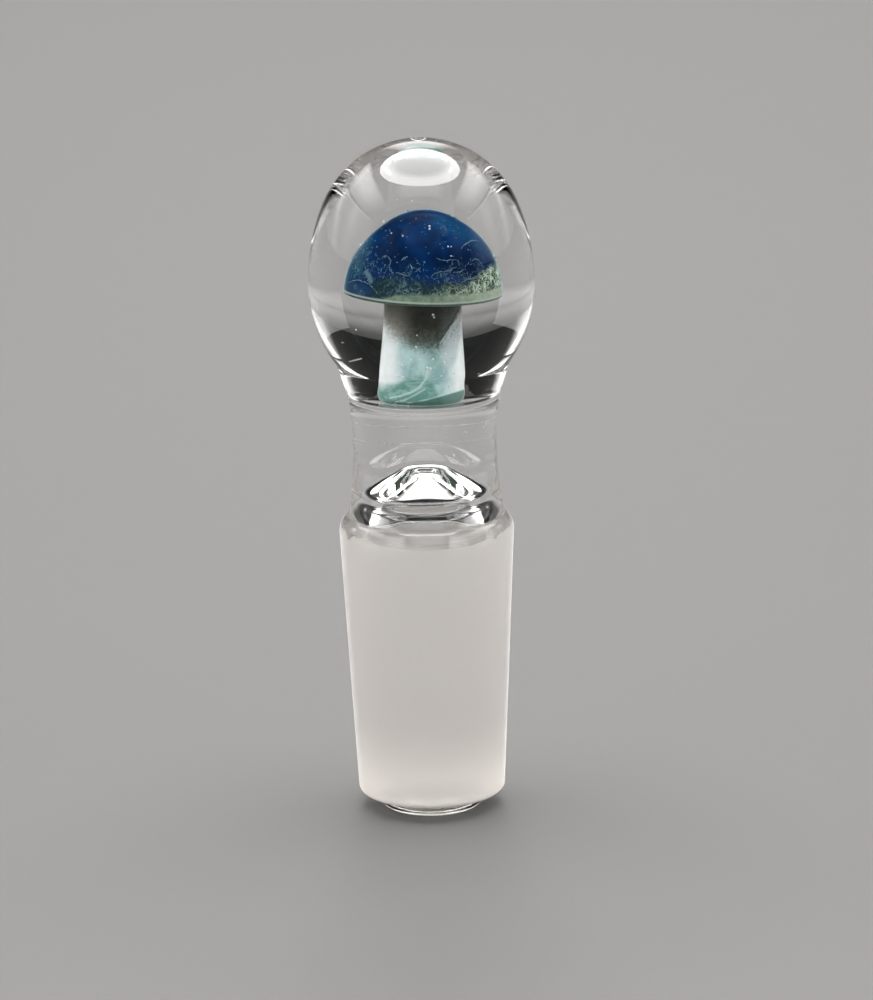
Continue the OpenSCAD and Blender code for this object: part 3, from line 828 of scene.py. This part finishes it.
BRIGHT = {(6.7, 5.26), (6.2, 5.11), (-33.5, 4.59), (-54.9, 4.61), (99.8, 2.67), (28.2, 4.02), (32.2, 4.0), (29, 3.41)}
bright, dim = [], []
for a, z, r in CAP_SPECKS:
    (bright if (a, z) in BRIGHT else dim).append((to_cap(spot(cap_profile, a, z)), r * (0.85 if (a, z) in BRIGHT else 0.8), (1, 1, rng.uniform(0.8, 1.6))))
for _ in range(70):
    a, z = rng.uniform(100, 262), rng.uniform(1.5, 5.5)
    (bright if rng.uniform() < 0.12 else dim).append((to_cap(spot(cap_profile, a, z)), rng.uniform(0.03, 0.06), (1, 1, rng.uniform(0.8, 1.5))))
for _ in range(60):
    a, z = rng.uniform(-95, 95), rng.uniform(1.8, 5.4)
    dim.append((to_cap(spot(cap_profile, a, z)), rng.uniform(0.016, 0.034), (rng.uniform(0.8, 1.6), 1, rng.uniform(0.8, 1.6))))
cap_seeds = bubbles("cap_seeds", bright, speck_material("seed_bright", (0.6, 0.72, 0.8)))
cap_haze = bubbles("cap_haze", dim, speck_material("seed_blue", (0.12, 0.22, 0.3)))
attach(cap_haze, "root")
items = [(spot(stem_profile, a, z) @ R_STEM.T + CAP_AT, 1.2 * r, (1, 1, rng.uniform(0.9, 1.2))) for a, z, r in STEM_SPECKS]
for _ in range(40):
    a, z = rng.uniform(115, 245), rng.uniform(-7.5, -1.5)
    items.append((spot(stem_profile, a, z) @ R_STEM.T + CAP_AT, rng.uniform(0.03, 0.07), (1, 1, 1.1)))
stem_seeds = bubbles("stem_seeds", items, speck_material("seed_pale", (0.95, 1.0, 0.99)))
# Small white balls in the clear glass: seeds, painted white as glints, and a short chain of stretched balls left of the
# neck that is a painted glint
GLASS_SEEDS = [
    # place mm, radius mm, stretch
    ((-1.52, -3, 51.69), 0.06, (1, 1, 0.8)), ((-0.51, -3, 51.59), 0.055, (1, 1, 0.8)), ((-2.27, -3, 30.8), 0.09, (0.8, 0.7, 2)), ((-2.15, -3, 31.0), 0.06, (1.6, 0.8, 0.8)),
    ((-3.9, -3, 30.1), 0.06, (2.6, 0.8, 0.7)), ((-3.5, -3, 30.4), 0.045, (2.2, 0.8, 0.8)), ((3.42, -3, 30.41), 0.07, (2.4, 0.8, 1.2)), ((3.1, -4, 33.2), 0.06, (2, 1, 1)),
    ((4.9, -3, 33.53), 0.11, (0.9, 0.9, 1.7)), ((4.6, -3, 33.3), 0.05, (1.4, 1, 1)), ((4.7, -3, 34.1), 0.05, (0.8, 1, 1.6)), ((-2.09, -4, 35.99), 0.04, (2.4, 1, 0.8)),
    ((-1.14, -4, 35.84), 0.04, (1.6, 1, 0.8)), ((-3.93, -1, 42.13), 0.05, (1, 1, 1)), ((-4.5, -1, 39.9), 0.03, (3, 1, 1)), ((-4.3, -1, 39.98), 0.036, (3, 1, 1)), ((-4.1, -1, 40.06), 0.04, (3, 1, 1)), ((-3.9, -1, 40.14), 0.042, (3, 1, 1)), ((-3.72, -1, 40.21), 0.038, (2, 1, 1)), ((-4.9, -1, 41.2), 0.03, (4, 1, 1)),
    ((2.3, 3.4, 39.2), 0.06, (1, 1, 1)), ((-1.6, 4.1, 48.2), 0.05, (1, 1, 1.4)), ((3.1, 1.9, 31.6), 0.07, (1.2, 1, 1)), ((-2.8, 2.6, 33.0), 0.05, (1, 1, 1.6)),
]
glass_seeds = bubbles("glass_seeds", [(A(c, float), r, q) for c, r, q in GLASS_SEEDS], speck_material("seed_glint_white", (0.86, 0.87, 0.88)))
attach(glass_seeds, "root")

# Fine broken white line round the neck, just under the surface: a painted reflection; it dips a little at the sides
neck = A([q for q in rest if 28 < q[1] < 35])
NECK_LINE = [(0.026, -82, -50), (0.036, -41, -37), (0.04, -34, -31), (0.036, -28, -26), (0.032, -20, -8), (0.05, -8, 20), (0.036, 20, 31), (0.022, 33, 66), (0.026, 118, 150), (0.034, 156, 205), (0.024, 214, 238)]
line_parts = []
for r, a0, a1 in NECK_LINE:
    q = np.radians(np.linspace(a0, a1, max(4, int(a1 - a0) + 1)))
    z = 32.7 - 0.85 * (1 - np.abs(np.cos(q))) + 0.012 * np.sin(9 * q + 2)
    rad = np.interp(z, neck[:, 1], neck[:, 0]) - 0.08
    line_parts.append(tube(np.c_[rad * np.sin(q), -rad * np.cos(q), z], r))
lv, lf = [], []
for v, f in line_parts:
    lf += [tuple(len(lv) + i for i in q) for q in f]
    lv += v
me = bpy.data.meshes.new("neck_glint_tube")
me.from_pydata([tuple(v * MM) for v in lv], [], lf)
me.polygons.foreach_set("use_smooth", [True] * len(lf))
me.update()
me.materials.append(speck_material("neck_glint_white", (1.0, 1.0, 1.0)))
neck_glint_tube = bpy.data.objects.new("neck_glint_tube", me)
scene.collection.objects.link(neck_glint_tube)
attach(neck_glint_tube, "root")
for ob, s in ((cap_seeds, "cap_glass"), (stem_seeds, "stem_glass")):
    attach(ob, "root")

# ------------------------------------------------------------------ studio
def stage_material(name, color, rough):
    n = Nodes(name)
    tone = n.mix(n.noise(0.004, 2, 0.5), tuple(0.97 * c for c in color), color)
    tone = n.mix(n.math("MULTIPLY", n.attr("rise"), 0.8), tone, tuple(0.1 * c for c in color))
    n.set(Base_Color=tone, Roughness=rough)
    return n.m


def stage_mesh(name, verts, faces, material):
    me = bpy.data.meshes.new(name)
    me.from_pydata(verts, [], faces)
    me.polygons.foreach_set("use_smooth", [True] * len(faces))
    me.update()
    me.materials.append(material)
    ob = bpy.data.objects.new(name, me)
    scene.collection.objects.link(ob)
    return ob


def ease(x, lo, hi):
    t = min(1.0, max(0.0, (x - lo) / (hi - lo)))
    return t * t * (3 - 2 * t)


# Pale round floor that curves up into a low rim all round
prof = [(x, 0.0) for x in (0.1, 0.25, 0.5, 0.75, 0.95)]
prof += [(0.95 + 0.12 * math.sin(t), 0.12 - 0.12 * math.cos(t)) for t in np.radians(np.arange(10, 91, 10))] + [(1.07, 0.142)]
V, F, n = [(0, 0, 0)], [], 96
for r, z in prof:
    V += [(r * math.cos(2 * math.pi * k / n), r * math.sin(2 * math.pi * k / n), z) for k in range(n)]
F += [(0, 1 + k, 1 + (k + 1) % n) for k in range(n)]
for i in range(len(prof) - 1):
    F += [(1 + i * n + k, 1 + (i + 1) * n + k, 1 + (i + 1) * n + (k + 1) % n, 1 + i * n + (k + 1) % n) for k in range(n)]
floor = stage_mesh("floor", V, F, stage_material("floor", (0.092, 0.091, 0.09), 0.6))
attribute(floor, "rise", [0.6 * ease(math.hypot(v[0], v[1]), 0.46, 0.95) + 0.4 * max(0.0, v[2]) / 0.142 for v in V])


def lamp_material(name, strength, middle=None, color=(1.0, 0.985, 0.97)):
    """Emission, with a dimmer middle if one is given."""
    m = bpy.data.materials.new(name)
    m.use_nodes = True
    t = m.node_tree
    t.nodes.clear()
    em, out = t.nodes.new("ShaderNodeEmission"), t.nodes.new("ShaderNodeOutputMaterial")
    em.inputs[0].default_value = (*color, 1)
    em.inputs[1].default_value = strength
    if middle is not None:
        tc, ln, mr = (t.nodes.new(k) for k in ("ShaderNodeTexCoord", "ShaderNodeVectorMath", "ShaderNodeMapRange"))
        ln.operation = "LENGTH"
        t.links.new(tc.outputs["Object"], ln.inputs[0])
        t.links.new(ln.outputs["Value"], mr.inputs[0])
        mr.interpolation_type = "SMOOTHSTEP"
        mr.inputs[1].default_value, mr.inputs[2].default_value = 0.5, 0.82
        mr.inputs[3].default_value, mr.inputs[4].default_value = middle, strength
        t.links.new(mr.outputs[0], em.inputs[1])
    t.links.new(em.outputs[0], out.inputs[0])
    return m


# Round soft box overhead, a little brighter round its edge
n = 96
lamp = stage_mesh(
    "softbox_top",
    [(0, 0, 0)] + [(math.cos(2 * math.pi * k / n), math.sin(2 * math.pi * k / n), 0) for k in range(n)],
    [(0, 1 + (k + 1) % n, 1 + k) for k in range(n)],
    lamp_material("softbox_top", 11.0, 4.2),
)
lamp.location = (0.03, 0.62, 1.65)
lamp.scale = (0.95, 1.02, 1)


def glow_sheet(name, at, glow, nu, nv):
    """Soft box made of a grid of points at(u, v), with its own glow(u, v) at each of them."""
    V = [at(u / nu, v / nv) for v in range(nv + 1) for u in range(nu + 1)]
    F = [(a, a + 1, a + nu + 2, a + nu + 1) for v in range(nv) for u in range(nu) for a in [v * (nu + 1) + u]]
    m = lamp_material(name, 1.0)
    t = m.node_tree
    at_ = t.nodes.new("ShaderNodeAttribute")
    at_.attribute_name = "glow"
    t.links.new(at_.outputs["Fac"], t.nodes["Emission"].inputs[1])
    ob = stage_mesh(name, V, F, m)
    attribute(ob, "glow", [max(0.0, glow(u / nu, v / nv)) for v in range(nv + 1) for u in range(nu + 1)])
    ob.visible_camera = False
    return ob


def bell(x, c, w):
    return math.exp(-(((x - c) / w) ** 2))


# White tent round the lamp: side walls with a soft fold, a strip of light along
# each side of the roof, and a fainter glow in front of and behind the lamp.
WALL, ROOF = 2.5, 1.65


def wall_glow(side):
    def glow(u, v):
        y, z = -1.9 + 4.6 * u, 0.2 + 1.4 * v
        fold = bell(y, 0.56 + 1.05 * (z - 0.14), 0.3) + 0.6 * bell(y, -0.25 + 0.2 * z, 0.35)
        g = (0.5 + 0.9 * fold) * (1 - ease(y, 1.5, 2.6)) * ease(y, -1.9, -0.8)
        return side * g * (0.35 + 0.65 * ease(z, 0.2, 1.3)) + 2.5 * ease(v, 0.94, 1.0) * ease(y, -1.6, -0.9) * (1 - ease(y, 1.3, 2.2))

    return glow


def strip_glow(u, v):
    x, y = 1.12 + 1.26 * v, -1.2 + 3.3 * u
    return 5.5 * ease(y, -1.2, 0.4) * (1 - 0.75 * ease(y, 1.3, 2.1)) * (0.3 + 0.7 * (1 - ease(v, 0.35, 1.0))) * ease(v, 0.0, 0.12)


for sign, name, power in ((-1, "left", 2.6), (1, "right", 2.3)):
    glow_sheet("tent_wall_" + name, lambda u, v: (sign * WALL, -1.9 + 4.6 * u, 0.2 + 1.4 * v), wall_glow(power), 36, 16)
    glow_sheet("tent_roof_" + name, lambda u, v: (sign * (1.12 + 1.26 * v), -1.2 + 3.3 * u, ROOF), strip_glow, 16, 10)
glow_sheet("tent_front", lambda u, v: (0.03 - 0.72 + 1.44 * u, -0.8 + 0.5 * v, ROOF + 0.01), lambda u, v: (0.8 + 1.6 * v) * ease(u, 0, 0.2) * (1 - ease(u, 0.8, 1)), 12, 6)
back = lambda u, v: (math.radians(-16 + 32 * u), math.radians(19 + 25 * v))
glow_sheet("tent_back", lambda u, v: (1.7 * math.sin(back(u, v)[0]), 1.7 * math.cos(back(u, v)[0]), 0.045 + 1.7 * math.tan(back(u, v)[1])), lambda u, v: 3.4 * ease(u, 0, 0.3) * (1 - ease(u, 0.7, 1)) * ease(v, 0, 0.2) * (1 - ease(v, 0.75, 1)), 12, 10)
# Low light from the camera's side; the glass doesn't mirror it
fill = glow_sheet("fill_front", lambda u, v: (1.4 * math.sin(math.radians(140 + 80 * u)), 1.4 * math.cos(math.radians(140 + 80 * u)), 0.045 + 1.4 * math.tan(math.radians(9 + 21 * v))), lambda u, v: 3.0 * ease(u, 0, 0.2) * (1 - ease(u, 0.8, 1)) * ease(v, 0, 0.3), 12, 5)
fill.visible_glossy = False
for name, a0 in (("fill_left", -145), ("fill_right", 100)):
    fill = glow_sheet(name, lambda u, v: (1.4 * math.sin(math.radians(a0 + 45 * u)), 1.4 * math.cos(math.radians(a0 + 45 * u)), 0.045 + 1.4 * math.tan(math.radians(8 + 24 * v))), lambda u, v: 6.5 * ease(u, 0, 0.2) * (1 - ease(u, 0.8, 1)) * ease(v, 0, 0.3), 8, 5)
    fill.visible_glossy = False

world = bpy.data.worlds.new("world")
scene.world = world
world.use_nodes = True
bg = world.node_tree.nodes["Background"]
bg.inputs[0].default_value = (0.8, 0.8, 0.8, 1)
bg.inputs[1].default_value = 1.0
world.cycles_visibility.glossy = False
world.cycles_visibility.transmission = False

scene.view_settings.view_transform = "Standard"
scene.cycles.max_bounces = 20
scene.cycles.transmission_bounces = 20
scene.cycles.glossy_bounces = 8
scene.cycles.diffuse_bounces = 4
